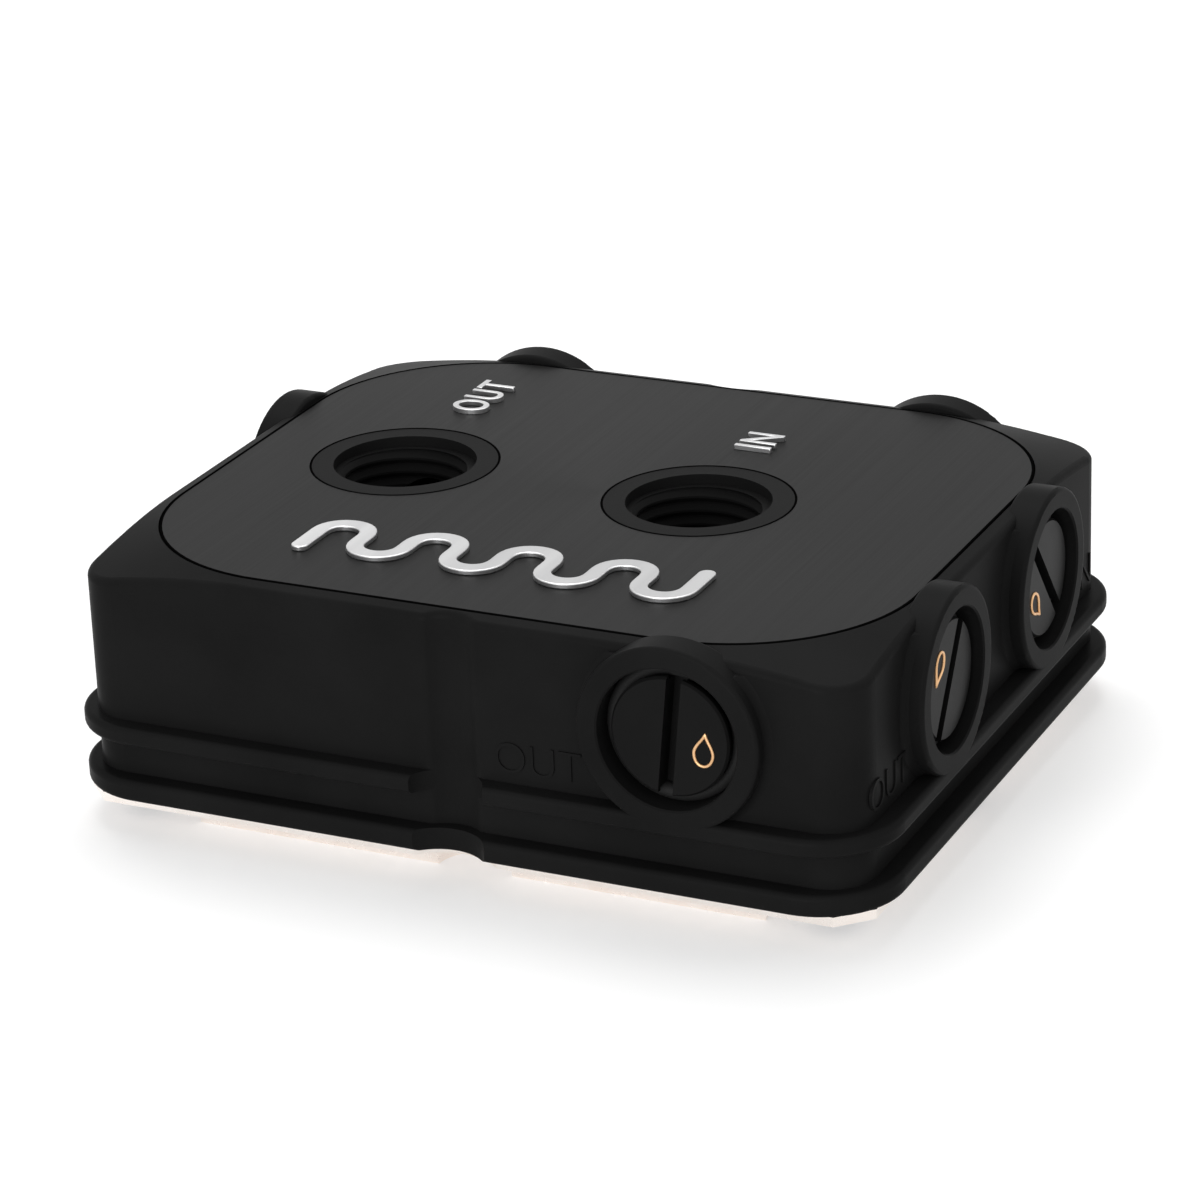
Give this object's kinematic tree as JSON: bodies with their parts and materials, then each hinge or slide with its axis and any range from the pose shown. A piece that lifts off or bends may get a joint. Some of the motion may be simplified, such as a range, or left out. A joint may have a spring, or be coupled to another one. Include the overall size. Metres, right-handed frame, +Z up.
{
  "type": "liquid cooling cold plate",
  "caption": "Rectangular liquid cooling cold plate: copper contact base, black moulded housing with threaded inlet and outlet on top and plugged side ports.",
  "frame": {"origin": "centre of the copper contact face, on its underside, below the middle of the housing", "axes": "+Z up, out of the top plate; +X along the longer side, from the outlet towards the inlet; +Y along the shorter side, from the front with one side port towards the back with two"},
  "size_m": [0.079, 0.066, 0.0262],
  "materials": {
    "moulded_black": "satin",
    "brushed_black": "brushed along Y, black",
    "copper": "machined, bright",
    "steel": "plain",
    "plug_black": "turned, satin",
    "rubber": "soft"
  },
  "bodies": {
    "root": {"housing": "moulded_black", "top_plate": "brushed_black", "base_plate": "copper", "jet_plate": "steel", "main_gasket": "rubber", "inlet_gasket": "rubber", "base_screws": "steel", "plug_front": "plug_black", "plug_right_front": "plug_black", "plug_right_rear": "plug_black", "plug_back_right": "plug_black", "plug_back_left": "plug_black", "plug_left": "plug_black", "seal_front": "rubber", "seal_right_front": "rubber", "seal_right_rear": "rubber", "seal_back_right": "rubber", "seal_back_left": "rubber", "seal_left": "rubber"}
  },
  "joints": []
}
